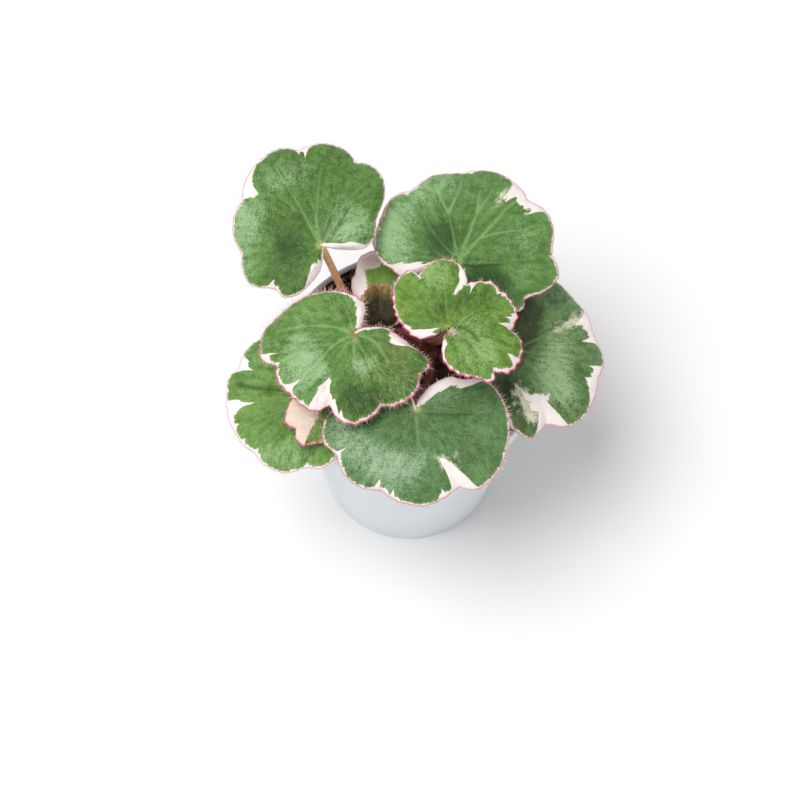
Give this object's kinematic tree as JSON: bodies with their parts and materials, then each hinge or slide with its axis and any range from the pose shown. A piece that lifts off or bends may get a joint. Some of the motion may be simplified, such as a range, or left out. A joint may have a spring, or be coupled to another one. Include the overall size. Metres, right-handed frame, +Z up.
{
  "type": "potted strawberry begonia",
  "caption": "Small rosette plant with rounded, lobed, white-edged hairy leaves on slender stalks, growing from a short crown in a round tapered nursery pot.",
  "frame": {"origin": "centre of the pot's flat underside", "axes": "+Z up, -Y towards the front of the plant"},
  "size_m": [0.0951, 0.0951, 0.0856],
  "materials": {
    "pot": "smooth pale plastic, thin-walled",
    "potting_mix": "rough, dark and crumbly, with brown bark",
    "crown": "matt brown-red rootstock",
    "leaf": "fleshy, pebbled and hairy, with a slight sheen; green, edged with white and pink",
    "stalk": "round, hairy, red-brown"
  },
  "bodies": {
    "root": {"pot": "pot", "potting_mix": "potting_mix", "crown": "crown", "back_left_leaf_blade": "leaf", "back_left_leaf_stalk": "stalk", "back_right_leaf_blade": "leaf", "back_right_leaf_stalk": "stalk", "right_leaf_blade": "leaf", "right_leaf_stalk": "stalk", "centre_leaf_blade": "leaf", "centre_leaf_stalk": "stalk", "left_leaf_blade": "leaf", "left_leaf_stalk": "stalk", "front_leaf_blade": "leaf", "front_leaf_stalk": "stalk", "low_left_leaf_blade": "leaf", "low_left_leaf_stalk": "stalk", "small_left_leaf_blade": "leaf", "small_left_leaf_stalk": "stalk", "small_back_leaf_blade": "leaf", "small_back_leaf_stalk": "stalk", "newest_leaf_blade": "leaf", "newest_leaf_stalk": "stalk"}
  },
  "joints": []
}
